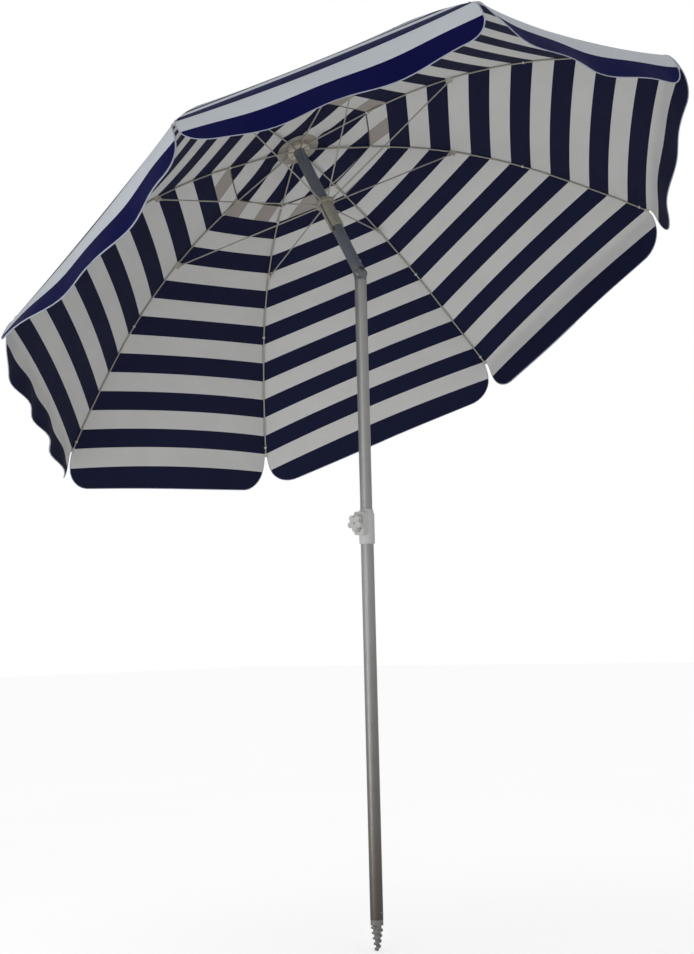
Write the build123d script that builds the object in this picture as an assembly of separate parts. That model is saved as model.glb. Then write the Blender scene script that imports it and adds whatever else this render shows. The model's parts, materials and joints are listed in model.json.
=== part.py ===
from build123d import *
import math
import os

# Beach umbrella: a ground auger, a telescoping pole with a clamp, a tilt knuckle and an eight-rib
# vented canopy that stands open and tilted.  Millimetres, +Z up.  The origin is the centre of the
# lower tube's bottom end, and the canopy tilts towards +X.

# ---- driving dimensions ----
FIT = 0.05  # between parts that are pressed or held together
RUN = 0.08  # running fits, on the radius
GAP = 0.3  # between pieces that move past each other

LOWER_TUBE_OD = 32.0
LOWER_TUBE_WALL = 0.6
LOWER_TUBE_LEN = 944.0
POLE_OD = 30.0  # the middle and upper tubes
POLE_WALL = 0.8
INSERTION = 198.0  # of the middle tube in the lower one
PIVOT_Z = 1590.0  # height of the tilt pin

AUGER_LEN = 75.0
AUGER_COLLAR = 13.0
AUGER_SINK = 0.2  # the auger's collar is this much inside the tube's outer face
AUGER_PLUG = 36.0
THREAD_PITCH = 13.0
THREAD_TOP_R = 12.6
THREAD_TIP_R = 4.4
THREAD_ROUND = 3.2
CROSS_PIN_R = 2.0
CASTELLATIONS = 6

COLLAR_LEN = 86.0
COLLAR_OVERLAP = 30.0  # length of the lower tube that the collar grips
GROOVE = 0.8  # width of the line rolled into the tube, which shows where the collar sits
GROOVE_DEPTH = 0.2
COLLAR_R = 19.3
BOSS_WIDTH = 31.0
BOSS_REACH = 31.0  # from the pole's axis
BOSS_LEN = 58.0
KNOB_DROP = 35.0  # knob axis below the collar's top
KNOB_R = 22.0
KNOB_LEN = 17.0
KNOB_LOBES = 5
STUD_R = 4.0
NUT_FLATS = 13.0
NUT_LEN = 6.5

TILT = 30.0
TONGUE_R = 12.0
TONGUE_HALF = 9.0
CHEEK = 3.0
CHEEK_R = 12.8
SHOULDER_DROP = 14.0  # from the pin to the faces of the two end caps
SHOULDER = 3.0
PLUG_LEN = 32.0
BOLT_R = 3.0
BUTTON_R = 4.0
BUTTON_RISE = 29.0  # from the pin, along the upper tube
BUTTON_PROUD = 3.0
BUTTON_TRAVEL = 2.5

CROWN_RISE = 409.0  # from the tilt pin to the crown, along the upper tube
RIBS = 8
FIRST_RIB = 19.26  # degrees from the low side of the canopy
RIB_R = 2.0
RIB_LEN = 987.0
RIB_STRAIGHT = 175.0
RIB_SLOPE = 7.57
RIB_BEND_1 = 1150.0
RIB_BEND_1_TURN = 25.4
RIB_BEND_2 = 2840.0
RIB_PIVOT_R = 18.0
RIB_PIVOT_DROP = 2.7
EYE_R = 3.2
WIRE_R = 1.0

HUB_R = 30.0
HUB_TOP = 4.0
HUB_LEN = 13.0
PATCH_R = 57.0
PATCH_DROP = 6.0
PATCH_THICK = 1.0
FINIAL_R = 18.0
FINIAL_LEN = 26.0
SCREW_R = 2.5

BRACKET_AT = 419.0  # along the rib
BRACKET_LEN = 16.0
STRETCHER_DROP = 7.0  # stretcher joint below the rib
STRETCHER_R = 1.75
STRETCHER_FLAT = 2.4
FLAT_LEN = 14.0
RIVET_R = 1.0
TIP_SLEEVE = 13.0
TIP_SLEEVE_R = 3.2
TIP_BEAD_R = 3.8
RIB_INSET = 3.0  # the wire ends this far inside its tip

RUNNER_DROP = 180.0  # stretcher pivots below the rib pivots
RUNNER_PIVOT_R = 20.5
RUNNER_FLANGE_R = 24.5
RUNNER_FLANGE = 9.5
RUNNER_SLEEVE_R = 18.0
RUNNER_SLEEVE = 72.0
RUNNER_WIRE_R = 0.9
OPEN_PIVOT_SLACK = 0.8
KEYWAY = 5.2
CATCH_WIDTH = 4.0
CATCH_LEN = 12.0
CATCH_PROUD = 2.6

CLOTH = 1.0
CLOTH_LIFT = 4.2  # cloth above the rib's centre line
VENT_AT = 186.0  # along the rib
CAP_END = 287.0
CAP_RISE = 9.0
CLOTH_INSET = 8.0
SEAM_GAP = 0.5
VALANCE = 106.0
VALANCE_CORNER = 60.0
VALANCE_GAP = 6.0
STRAP = (16.0, 62.0, 2.0)

# ---- derived dimensions ----
PANEL = 360.0 / RIBS
CATCH_ANGLE = FIRST_RIB + 1.5 * PANEL  # round the upper tube, midway between two stretchers
LOWER_BORE_R = LOWER_TUBE_OD / 2 - LOWER_TUBE_WALL
POLE_R = POLE_OD / 2
POLE_BORE_R = POLE_R - POLE_WALL
COLLAR_BOTTOM = LOWER_TUBE_LEN - COLLAR_OVERLAP
COLLAR_TOP = COLLAR_BOTTOM + COLLAR_LEN
KNOB_Z = COLLAR_TOP - KNOB_DROP
MIDDLE_BOTTOM = LOWER_TUBE_LEN - INSERTION
MIDDLE_TOP = PIVOT_Z - SHOULDER_DROP - SHOULDER
TUBE_TOP = HUB_TOP - HUB_LEN  # top of the upper tube, from the crown
TUBE_BOTTOM = -CROWN_RISE + SHOULDER_DROP + SHOULDER
RIB_PIVOT_H = -RIB_PIVOT_DROP
RUNNER_H = RIB_PIVOT_H - RUNNER_DROP
CANOPY = Location((0, 0, PIVOT_Z)) * Rotation(0, TILT, 0) * Location((0, 0, CROWN_RISE))


def ring(r_out, r_in, z0, z1):
    """A straight round wall between two heights."""
    wall = Circle(r_out) - Circle(r_in)
    return Pos(0, 0, z0) * extrude(wall, z1 - z0)


def rod(radius, z0, z1):
    """A straight round bar between two heights."""
    return Pos(0, 0, z0) * extrude(Circle(radius), z1 - z0)


def rod_y(radius, y0, y1, x=0.0, z=0.0):
    """A round bar along Y."""
    return Pos(x, y0, z) * Rotation(-90, 0, 0) * extrude(Circle(radius), y1 - y0)


def rib_point(s):
    """Radius, height and downward slope of the rib's centre line, s along it from its pivot."""
    slope = math.radians(RIB_SLOPE)
    turn = math.radians(RIB_BEND_1_TURN)
    run = min(s, RIB_STRAIGHT)
    r = RIB_PIVOT_R + run * math.cos(slope)
    h = RIB_PIVOT_H - run * math.sin(slope)
    left = s - run
    for radius, length in ((RIB_BEND_1, RIB_BEND_1 * turn), (RIB_BEND_2, math.inf)):
        part = min(left, length)
        end = slope + part / radius
        r += radius * (math.sin(end) - math.sin(slope))
        h -= radius * (math.cos(slope) - math.cos(end))
        slope = end
        left -= part
    return r, h, slope


def rib_frame(s):
    """A plane on the rib: x along it, z out through the cloth."""
    r, h, slope = rib_point(s)
    along = (math.cos(slope), 0, -math.sin(slope))
    return Plane(origin=(r, 0, h), x_dir=along, z_dir=(math.sin(slope), 0, math.cos(slope)))


def rib_line(s0, s1):
    """The rib's centre line between two lengths: a straight run and two bends."""
    bends = [RIB_STRAIGHT, RIB_STRAIGHT + RIB_BEND_1 * math.radians(RIB_BEND_1_TURN)]
    stops = [s0] + [b for b in bends if s0 < b < s1] + [s1]
    edges = []
    for a, b in zip(stops, stops[1:]):
        start, middle, end = [Vector(r, 0, h) for r, h, _ in map(rib_point, (a, (a + b) / 2, b))]
        if b <= RIB_STRAIGHT:
            edges.append(Line(start, end))
        else:
            edges.append(ThreePointArc(start, middle, end))
    return Wire(edges)


def stretcher_ends():
    """The stretcher's outer joint on the rib bracket and its inner joint on the runner."""
    outer = rib_frame(BRACKET_AT).from_local_coords(Vector(0, 0, -STRETCHER_DROP))
    return outer, Vector(RUNNER_PIVOT_R, 0, RUNNER_H)


def eight(piece):
    """Eight copies of a piece round the canopy axis, one at each rib."""
    return [Rotation(0, 0, FIRST_RIB + PANEL * k) * piece for k in range(RIBS)]


# ---- lower pole ----
def make_lower_tube():
    tube = ring(LOWER_TUBE_OD / 2, LOWER_BORE_R, 0, LOWER_TUBE_LEN)
    outer = LOWER_TUBE_OD / 2
    tube -= ring(outer + 1, outer - GROOVE_DEPTH, COLLAR_BOTTOM - GROOVE, COLLAR_BOTTOM)
    return tube - Rotation(0, 90, 0) * Cylinder(CROSS_PIN_R + FIT, LOWER_TUBE_OD * 2).moved(
        Location((-AUGER_PLUG / 2, 0, 0))
    )


def make_ground_auger():
    collar_r = LOWER_TUBE_OD / 2 - AUGER_SINK
    plug_r = LOWER_BORE_R - FIT
    core_len = AUGER_LEN - AUGER_COLLAR
    body = rod(plug_r, -0.01, AUGER_PLUG) + rod(collar_r, -AUGER_COLLAR, 0)
    notch = Pos(collar_r, 0, -AUGER_COLLAR) * Box(4, collar_r * 0.45, AUGER_COLLAR * 0.7)
    for k in range(CASTELLATIONS):
        body -= Rotation(0, 0, 360 / CASTELLATIONS * k) * notch
    core = Pos(0, 0, -AUGER_COLLAR - core_len / 2) * Cone(
        THREAD_TIP_R - THREAD_ROUND + 1, THREAD_TOP_R - 1, core_len
    )
    height = core_len - 2 * THREAD_ROUND
    taper = math.degrees(math.atan((THREAD_TOP_R - THREAD_TIP_R) / height))
    start = -AUGER_LEN + THREAD_ROUND
    path = Helix(THREAD_PITCH, height, THREAD_TIP_R, center=(0, 0, start), cone_angle=taper)
    section = Plane(origin=path @ 0, z_dir=path % 0) * Circle(THREAD_ROUND)
    thread = sweep(section, path=path, is_frenet=True)
    body += core + thread
    body += Pos(0, 0, start) * Sphere(THREAD_ROUND)
    return body - make_auger_pin(FIT)


def make_auger_pin(grow=0.0):
    pin = Cylinder(CROSS_PIN_R + grow, LOWER_TUBE_OD - 1 + 4 * grow)
    return Pos(0, 0, AUGER_PLUG / 2) * Rotation(0, 90, 0) * pin


def make_clamp_collar():
    lower_r = LOWER_TUBE_OD / 2 + FIT
    upper_r = POLE_R + RUN
    body = rod(COLLAR_R, COLLAR_BOTTOM, COLLAR_TOP - 10)
    body += rod(COLLAR_R - 2.2, COLLAR_TOP - 10.01, COLLAR_TOP)
    body = chamfer(body.edges().filter_by(GeomType.CIRCLE).group_by(Axis.Z)[0], 2.4)
    body = chamfer(body.edges().filter_by(GeomType.CIRCLE).group_by(Axis.Z)[-1], 0.8)
    boss = Pos(0, BOSS_REACH / 2, KNOB_Z) * Box(BOSS_WIDTH, BOSS_REACH, BOSS_LEN)
    boss = fillet(boss.edges().filter_by(Axis.Y), 6)
    boss = fillet(boss.faces().sort_by(Axis.Y)[-1].edges(), 2)
    body += boss
    body -= rod(lower_r, COLLAR_BOTTOM - 1, LOWER_TUBE_LEN)
    body -= rod(upper_r, LOWER_TUBE_LEN - 1, COLLAR_TOP + 1)
    body -= rod_y(STUD_R + GAP, 0, BOSS_REACH + 1, z=KNOB_Z)
    return body - make_nut_blank(FIT)


def make_nut_blank(grow=0.0):
    hexagon = RegularPolygon(NUT_FLATS / 2 + grow, 6, major_radius=False)
    prism = extrude(hexagon, NUT_LEN + 2 * grow)
    return Pos(0, BOSS_REACH - NUT_LEN - 3 - grow, KNOB_Z) * Rotation(-90, 0, 0) * prism


def make_clamp_nut():
    return make_nut_blank() - rod_y(STUD_R + RUN, 0, BOSS_REACH + 1, z=KNOB_Z)


def make_clamp_stud():
    return rod_y(STUD_R, POLE_R + GAP, BOSS_REACH + 0.8 * KNOB_LEN, z=KNOB_Z)


def make_clamp_knob():
    lobe_at = KNOB_R * 0.66
    lobe_r = KNOB_R - lobe_at
    shape = Circle(KNOB_R * 0.68)
    for k in range(KNOB_LOBES):
        shape += Rotation(0, 0, 360 / KNOB_LOBES * k + 18) * Pos(lobe_at, 0) * Circle(lobe_r)
    star = extrude(shape, KNOB_LEN - 5)
    star = fillet(star.edges().group_by(Axis.Z)[-1], 1.5)
    boss = rod(KNOB_R * 0.45, -5 + GAP, 0.01)
    dimple = Pos(0, 0, KNOB_LEN - 5) * Sphere(4)
    knob = Pos(0, BOSS_REACH + 5, KNOB_Z) * Rotation(-90, 0, 0) * (star + boss - dimple)
    return knob - rod_y(STUD_R + FIT, BOSS_REACH, BOSS_REACH + 0.8 * KNOB_LEN + FIT, z=KNOB_Z)


# ---- middle pole ----
def make_middle_tube():
    return ring(POLE_R, POLE_BORE_R, MIDDLE_BOTTOM, MIDDLE_TOP)


def make_guide_plug():
    skirt = 14.0
    plug = ring(LOWER_BORE_R - RUN, 9, MIDDLE_BOTTOM - skirt, MIDDLE_BOTTOM - FIT)
    return plug + ring(POLE_BORE_R - FIT, 9, MIDDLE_BOTTOM - FIT - 0.01, MIDDLE_BOTTOM + 20)


def make_knuckle_tongue():
    plug = ring(POLE_BORE_R - FIT, 9, MIDDLE_TOP - PLUG_LEN, MIDDLE_TOP + 0.01)
    shoulder = rod(POLE_R, MIDDLE_TOP, MIDDLE_TOP + SHOULDER)
    neck = Pos(0, 0, PIVOT_Z - SHOULDER_DROP / 2) * Box(
        2 * TONGUE_R, 2 * TONGUE_HALF, SHOULDER_DROP + 0.02
    )
    head = rod_y(TONGUE_R, -TONGUE_HALF, TONGUE_HALF, z=PIVOT_Z)
    hole = rod_y(BOLT_R + RUN, -POLE_R, POLE_R, z=PIVOT_Z)
    return plug + shoulder + neck + head - hole


# ---- upper pole, made upright with the crown at height 0 ----
def make_upper_tube():
    tube = ring(POLE_R, POLE_BORE_R, TUBE_BOTTOM, TUBE_TOP)
    return tube - button_rod(BUTTON_R + GAP, 2 * POLE_R) - catch_blank(GAP)


def make_knuckle_fork():
    pin = -CROWN_RISE
    side = TONGUE_HALF + GAP
    plug = rod(POLE_BORE_R - FIT, TUBE_BOTTOM - 0.01, TUBE_BOTTOM + PLUG_LEN)
    fork = plug + rod(POLE_R, TUBE_BOTTOM - SHOULDER, TUBE_BOTTOM)
    for sign in (-1, 1):
        inner = sign * side
        outer = sign * (side + CHEEK)
        middle = (inner + outer) / 2
        web = Pos(0, middle, pin + SHOULDER_DROP / 2) * Box(
            2 * CHEEK_R - 4, CHEEK, SHOULDER_DROP + 0.02
        )
        fork += web + rod_y(CHEEK_R, min(inner, outer), max(inner, outer), z=pin)
    fork -= rod_y(BOLT_R + FIT, -POLE_R, POLE_R, z=pin)
    return fork - button_rod(BUTTON_R + GAP, 2 * POLE_R) - button_rod(BUTTON_R + GAP, POLE_R, -4.0)


def button_rod(radius, outer, inner=0.0):
    """A round bar across the upper tube on the side away from the low edge."""
    place = Pos(-inner, 0, -CROWN_RISE + BUTTON_RISE) * Rotation(0, -90, 0)
    return place * extrude(Circle(radius), outer - inner)


def make_tilt_button():
    cap = button_rod(BUTTON_R, POLE_R + BUTTON_PROUD, BUTTON_TRAVEL + 1)
    return fillet(cap.edges().sort_by(Axis.X)[0], 1.2)


def make_tilt_bolt():
    pin = -CROWN_RISE
    outside = TONGUE_HALF + GAP + CHEEK
    bolt = rod_y(BOLT_R, -outside - 4, outside, z=pin)
    head = rod_y(BOLT_R * 1.9, outside, outside + 2.6, z=pin)
    return bolt + fillet(head.edges().sort_by(Axis.Y)[-1], 1)


def make_tilt_nut():
    pin = -CROWN_RISE
    outside = TONGUE_HALF + GAP + CHEEK
    hexagon = extrude(RegularPolygon(BOLT_R * 1.8, 6, major_radius=False), 3.6)
    nut = Pos(0, -outside, pin) * Rotation(90, 0, 0) * hexagon
    return nut - rod_y(BOLT_R + FIT, -outside - 5, 0, z=pin)


def make_crown_hub():
    hub = rod(HUB_R, TUBE_TOP, HUB_TOP)
    hub = fillet(hub.edges().group_by(Axis.Z)[-1], 2)
    hub += rod(POLE_BORE_R - FIT, TUBE_TOP - PLUG_LEN, TUBE_TOP + 0.01)
    slot_height = HUB_LEN - 3
    inner = RIB_PIVOT_R - EYE_R - GAP
    slot = Pos(inner + HUB_R / 2, 0, TUBE_TOP + slot_height / 2) * Box(
        HUB_R, 2 * (RIB_R + GAP), slot_height
    )
    for cut in eight(slot):
        hub -= cut
    hub -= Pos(0, 0, RIB_PIVOT_H) * Torus(RIB_PIVOT_R, WIRE_R + FIT)
    return hub - rod(SCREW_R + FIT, TUBE_TOP - PLUG_LEN, HUB_TOP + 1)


def make_crown_wire():
    return Pos(0, 0, RIB_PIVOT_H) * Torus(RIB_PIVOT_R, WIRE_R)


def make_crown_patch():
    low = HUB_TOP + FIT
    outline = Polyline(
        (SCREW_R + 1, low),
        (HUB_R + 1, low),
        (PATCH_R, low - PATCH_DROP),
        (PATCH_R, low - PATCH_DROP + PATCH_THICK),
        (HUB_R + 1, low + PATCH_THICK),
        (SCREW_R + 1, low + PATCH_THICK),
        close=True,
    )
    return revolve(Plane.XZ * make_face(outline), Axis.Z)


def make_finial():
    base = HUB_TOP + 2 * FIT + PATCH_THICK
    body = rod(FINIAL_R, base, base + 6)
    body += Pos(0, 0, base + 6) * Cone(FINIAL_R, FINIAL_R * 0.45, FINIAL_LEN - 12).moved(
        Location((0, 0, (FINIAL_LEN - 12) / 2))
    )
    body += Pos(0, 0, base + FINIAL_LEN - FINIAL_R * 0.45) * Sphere(FINIAL_R * 0.5)
    body = fillet(body.edges().group_by(Axis.Z)[0], 1)
    return body - rod(SCREW_R + FIT, base - 1, base + 12)


def make_finial_screw():
    base = HUB_TOP + 2 * FIT + PATCH_THICK
    return rod(SCREW_R, TUBE_TOP - PLUG_LEN + 2, base + 11)


# ---- runner ----
def make_runner():
    top = RUNNER_H + RUNNER_FLANGE / 2
    bottom = top - RUNNER_FLANGE
    flange = fillet(rod(RUNNER_FLANGE_R, bottom, top).edges().filter_by(GeomType.CIRCLE), 1)
    body = flange + rod(RUNNER_SLEEVE_R, bottom - RUNNER_SLEEVE, top + 6)
    body += rod(RUNNER_SLEEVE_R + 0.9, bottom - RUNNER_SLEEVE, bottom - RUNNER_SLEEVE + 6)
    body -= rod(POLE_R + RUN, bottom - RUNNER_SLEEVE - 1, top + 7)
    slot_in = RUNNER_PIVOT_R - EYE_R - GAP - OPEN_PIVOT_SLACK
    slot = Pos(slot_in + RUNNER_FLANGE_R / 2, 0, RUNNER_H) * Box(
        RUNNER_FLANGE_R, STRETCHER_FLAT + 2 * GAP, RUNNER_FLANGE + 14
    )
    for cut in eight(slot):
        body -= cut
    body -= Pos(0, 0, RUNNER_H) * Torus(RUNNER_PIVOT_R, RUNNER_WIRE_R + FIT)
    keyway = Pos(POLE_R, 0, RUNNER_H - RUNNER_SLEEVE / 2) * Box(
        2 * (RUNNER_SLEEVE_R + 1 - POLE_R), KEYWAY, 2 * RUNNER_SLEEVE
    )
    return body - Rotation(0, 0, CATCH_ANGLE) * keyway


def make_runner_wire():
    return Pos(0, 0, RUNNER_H) * Torus(RUNNER_PIVOT_R, RUNNER_WIRE_R)


def catch_blank(grow=0.0):
    """A short bar through the upper tube's wall, just under the open runner."""
    top = RUNNER_H - RUNNER_FLANGE / 2 - RUNNER_SLEEVE - 1
    outer = POLE_R + CATCH_PROUD
    inner = POLE_BORE_R - 3.0
    bar = Pos((outer + inner) / 2, 0, top - CATCH_LEN / 2) * Box(
        outer - inner + 2 * grow, CATCH_WIDTH + 2 * grow, CATCH_LEN + 2 * grow
    )
    return Rotation(0, 0, CATCH_ANGLE) * bar


def make_runner_catch():
    bar = catch_blank()
    return fillet(bar.edges().group_by(Axis.Z)[0], 0.8)


# ---- ribs and stretchers, made at angle 0 ----
def make_rib():
    path = rib_line(1.5, RIB_LEN - RIB_INSET)
    r, h, slope = rib_point(1.5)
    section = Plane(origin=(r, 0, h), z_dir=(math.cos(slope), 0, -math.sin(slope))) * Circle(RIB_R)
    eye = rod_y(EYE_R, -RIB_R, RIB_R, RIB_PIVOT_R, RIB_PIVOT_H)
    trim = GAP + RIB_R ** 2 / (2 * RIB_PIVOT_R) + FIT
    hole = rod_y(WIRE_R + trim - GAP, -5, 5, RIB_PIVOT_R, RIB_PIVOT_H)
    return sweep(section, path=path) + eye - hole


def make_rib_fittings():
    """The tip bead, the stretcher bracket and its rivet."""
    bore = Rotation(0, 90, 0) * Cylinder(RIB_R + RUN, 4 * TIP_SLEEVE)
    bead = Vector(-TIP_BEAD_R - math.sqrt(TIP_BEAD_R ** 2 - TIP_SLEEVE_R ** 2), TIP_SLEEVE_R)
    back, floor, wall = -TIP_SLEEVE, -RIB_INSET + GAP, RIB_R + RUN
    outline = ThreePointArc(bead, (-TIP_BEAD_R, TIP_BEAD_R), (0, 0))
    outline += Polyline((0, 0), (floor, 0), (floor, wall), (back, wall), (back, TIP_SLEEVE_R), bead)
    tip = revolve(make_face(outline), Axis.X)
    top = RIB_R + 0.8
    bottom = -STRETCHER_DROP - EYE_R - 0.8
    half = STRETCHER_FLAT / 2 + GAP + 1.2
    bracket = Pos(0, 0, (top + bottom) / 2) * Box(BRACKET_LEN, 2 * half, top - bottom)
    bracket = fillet(bracket.edges().filter_by(Axis.Y), 2.5)
    throat_top = -RIB_R - 0.7
    throat = Pos(0, 0, (throat_top + bottom) / 2 - 1) * Box(
        2 * BRACKET_LEN, STRETCHER_FLAT + 2 * GAP, throat_top - bottom + 2
    )
    bracket -= throat
    bracket -= bore
    bracket -= rod_y(RIVET_R + FIT, -5, 5, z=-STRETCHER_DROP)
    rivet = rod_y(RIVET_R, -half - 0.01, half + 0.01, z=-STRETCHER_DROP)
    rivet += rod_y(RIVET_R * 2, half, half + 0.9, z=-STRETCHER_DROP)
    rivet += rod_y(RIVET_R * 2, -half - 0.9, -half, z=-STRETCHER_DROP)
    place = rib_frame(BRACKET_AT).location
    return [rib_frame(RIB_LEN).location * tip, place * bracket, place * rivet]


def make_stretcher():
    outer, inner = stretcher_ends()
    span = (inner - outer).length
    along = (inner - outer).normalized()
    frame = Plane(origin=outer, x_dir=along, z_dir=Vector(0, 1, 0).cross(along) * -1)
    bar = Pos(span / 2, 0, 0) * Rotation(0, 90, 0) * Cylinder(STRETCHER_R, span - 2 * FLAT_LEN + 4)
    for x, sign in ((0, 1), (span, -1)):
        flat = Pos(x + sign * FLAT_LEN / 2, 0, 0) * Box(FLAT_LEN, STRETCHER_FLAT, 2 * EYE_R - 2)
        bar += flat + rod_y(EYE_R, -STRETCHER_FLAT / 2, STRETCHER_FLAT / 2, x)
    bar -= rod_y(RIVET_R + RUN, -5, 5)
    bar -= rod_y(RUNNER_WIRE_R + OPEN_PIVOT_SLACK, -5, 5, span)
    return frame.location * bar


# ---- cloth, one sector on each rib ----
def cloth_band(s0, s1, lift0, lift1):
    """Half of a flat-chord panel from the rib to the panel's middle, as a thin solid."""
    narrow = math.cos(math.radians(PANEL / 2))
    steps = 8

    def edge(extra):
        points = []
        for k in range(steps + 1):
            r, h, slope = rib_point(s0 + (s1 - s0) * k / steps)
            lift = lift0 + (lift1 - lift0) * k / steps + extra
            points.append((narrow * (r + lift * math.sin(slope)), h + lift * math.cos(slope)))
        return points

    low, high = edge(0), edge(CLOTH)
    outline = Spline(*low) + Line(low[-1], high[-1]) + Spline(*high) + Line(high[0], low[0])
    profile = Plane.XZ * make_face(outline)
    width = rib_point(s1)[0]
    sheet = Rotation(0, 0, PANEL / 2) * extrude(profile, width, both=True)
    half = math.radians(PANEL / 2)
    reach = 2 * width
    tall = 2 * abs(rib_point(s1)[1]) + 2 * CLOTH_LIFT + CAP_RISE + 20
    corner = Polyline(
        (SEAM_GAP / math.sin(half), 0),
        (reach, 0),
        (reach, reach * math.tan(half) - SEAM_GAP / math.cos(half)),
        close=True,
    )
    wedge = Pos(0, 0, -tall / 2) * extrude(make_face(corner), tall)
    return sheet & wedge


def valance_frame(k):
    """The rim of the panel after rib k: a plane with x along the rim and y down the hanging flap."""
    r, h, slope = rib_point(RIB_LEN - CLOTH_INSET)
    lift = CLOTH_LIFT + CLOTH / 2
    r, h = r + lift * math.sin(slope), h + lift * math.cos(slope)
    angles = [math.radians(FIRST_RIB + PANEL * n) for n in (k, k + 1)]
    start, end = [Vector(r * math.cos(a), r * math.sin(a), h) for a in angles]
    tilt = math.radians(TILT)
    down = Vector(math.sin(tilt), 0, -math.cos(tilt))
    along = (end - start).normalized()
    hang = (down - along * down.dot(along)).normalized()
    return Plane(origin=start, x_dir=along, z_dir=along.cross(hang)), (end - start).length


def valance_half(k, which):
    """One half of the flap of the panel after rib k: 0 is next to rib k, 1 is next to the next rib."""
    frame, rim = valance_frame(k)
    flap = Pos(rim / 2, VALANCE / 2) * Rectangle(rim - 2 * VALANCE_GAP, VALANCE)
    flap = fillet(flap.vertices().group_by(Axis.Y)[-1], VALANCE_CORNER)
    side = rim / 2 - SEAM_GAP
    keep = Pos(side / 2 + which * (rim - side), VALANCE / 2) * Rectangle(side, 2 * VALANCE)
    sheet = extrude(flap & keep, CLOTH / 2, both=True)
    return frame.location * sheet


def make_sector(k, skin, cap):
    """The cloth that rib k carries: two half panels, two half flaps and its share of the cap."""
    turn = Rotation(0, 0, FIRST_RIB + PANEL * k)
    cloth = turn * skin
    cloth += valance_half(k, 0)
    cloth += valance_half(k - 1, 1)
    return list(cloth.solids()) + list((turn * cap).solids())


def make_closing_strap():
    width, length, thick = STRAP
    frame, rim = valance_frame(0)
    out = -1 if frame.z_dir.dot(frame.origin.normalized()) < 0 else 1
    strap = Pos(rim * 0.6, VALANCE - length / 3, out * (CLOTH / 2 + thick / 2)) * Box(
        width, length, thick
    )
    return frame.location * fillet(strap.edges().filter_by(Axis.Z), width / 3)


def mirrored(piece):
    return piece + mirror(piece, about=Plane.XZ)


def build():
    """Every node by name, in the object's own frame."""
    nodes = {
        "lower_tube": make_lower_tube(),
        "ground_auger": make_ground_auger(),
        "auger_cross_pin": make_auger_pin(),
        "clamp_collar": make_clamp_collar(),
        "clamp_nut": make_clamp_nut(),
        "clamp_stud": make_clamp_stud(),
        "clamp_knob": make_clamp_knob(),
        "middle_tube": make_middle_tube(),
        "guide_plug": make_guide_plug(),
        "knuckle_tongue": make_knuckle_tongue(),
    }
    upper = {
        "upper_tube": make_upper_tube(),
        "knuckle_fork": make_knuckle_fork(),
        "tilt_bolt": make_tilt_bolt(),
        "tilt_nut": make_tilt_nut(),
        "tilt_button": make_tilt_button(),
        "crown_hub": make_crown_hub(),
        "crown_wire": make_crown_wire(),
        "crown_patch": make_crown_patch(),
        "finial": make_finial(),
        "finial_screw": make_finial_screw(),
        "runner": make_runner(),
        "runner_wire": make_runner_wire(),
        "runner_catch": make_runner_catch(),
        "closing_strap": make_closing_strap(),
    }
    rib = make_rib()
    fittings = make_rib_fittings()
    skin = mirrored(cloth_band(VENT_AT, RIB_LEN - CLOTH_INSET, CLOTH_LIFT, CLOTH_LIFT))
    cap_start = (PATCH_R + 2 - RIB_PIVOT_R) / math.cos(math.radians(RIB_SLOPE))
    cap = mirrored(cloth_band(cap_start, CAP_END, CLOTH_LIFT, CLOTH_LIFT + CAP_RISE))
    fitting_sets = [eight(piece) for piece in fittings]
    for k, (one_rib, one_stretcher) in enumerate(zip(eight(rib), eight(make_stretcher()))):
        upper[f"rib_{k + 1}"] = one_rib
        upper[f"rib_fittings_{k + 1}"] = Compound([s for group in fitting_sets for s in group[k].solids()])
        upper[f"stretcher_{k + 1}"] = one_stretcher
        upper[f"canopy_sector_{k + 1}"] = Compound(make_sector(k, skin, cap))
    nodes.update({name: CANOPY * piece for name, piece in upper.items()})
    return nodes


if __name__ == "__main__":
    os.makedirs("parts", exist_ok=True)
    for name, piece in build().items():
        export_step(piece, f"parts/{name}.step")
        box = piece.bounding_box()
        solids = len(piece.solids())
        print(f"{name:20s} {solids} solids  {piece.volume:12.1f} mm3  z {box.min.Z:8.1f} {box.max.Z:8.1f}")
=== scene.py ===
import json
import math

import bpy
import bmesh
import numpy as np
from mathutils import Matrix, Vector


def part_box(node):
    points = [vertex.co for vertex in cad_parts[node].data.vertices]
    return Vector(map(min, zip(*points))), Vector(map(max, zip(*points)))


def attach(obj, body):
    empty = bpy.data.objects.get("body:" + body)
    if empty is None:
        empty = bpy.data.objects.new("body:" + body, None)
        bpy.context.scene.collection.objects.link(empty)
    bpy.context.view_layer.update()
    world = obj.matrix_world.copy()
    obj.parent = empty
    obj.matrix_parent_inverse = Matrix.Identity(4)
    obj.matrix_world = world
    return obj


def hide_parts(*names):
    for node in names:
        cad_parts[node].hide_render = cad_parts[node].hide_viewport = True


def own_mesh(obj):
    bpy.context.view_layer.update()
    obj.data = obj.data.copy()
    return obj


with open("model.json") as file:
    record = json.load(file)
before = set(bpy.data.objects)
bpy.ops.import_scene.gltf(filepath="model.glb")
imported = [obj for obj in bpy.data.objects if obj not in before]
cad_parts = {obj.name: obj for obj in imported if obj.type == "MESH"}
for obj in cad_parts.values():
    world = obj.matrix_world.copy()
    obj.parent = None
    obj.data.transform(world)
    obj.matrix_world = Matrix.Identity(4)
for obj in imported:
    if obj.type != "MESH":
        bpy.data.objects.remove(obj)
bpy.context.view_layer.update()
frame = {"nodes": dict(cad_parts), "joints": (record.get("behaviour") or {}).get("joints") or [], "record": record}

# %% [markdown]
# # A striped beach umbrella, open and tilted
# The metal and plastic parts come finished in shape from the CAD frame, so here they only get their
# materials. The cloth is the work of this lesson: eight panels that hang between curved ribs, a
# valance that falls free below the rim, and a vent cap above the opening at the crown. Every length
# is in metres, and every place comes from the frame's joints and boxes.

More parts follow.
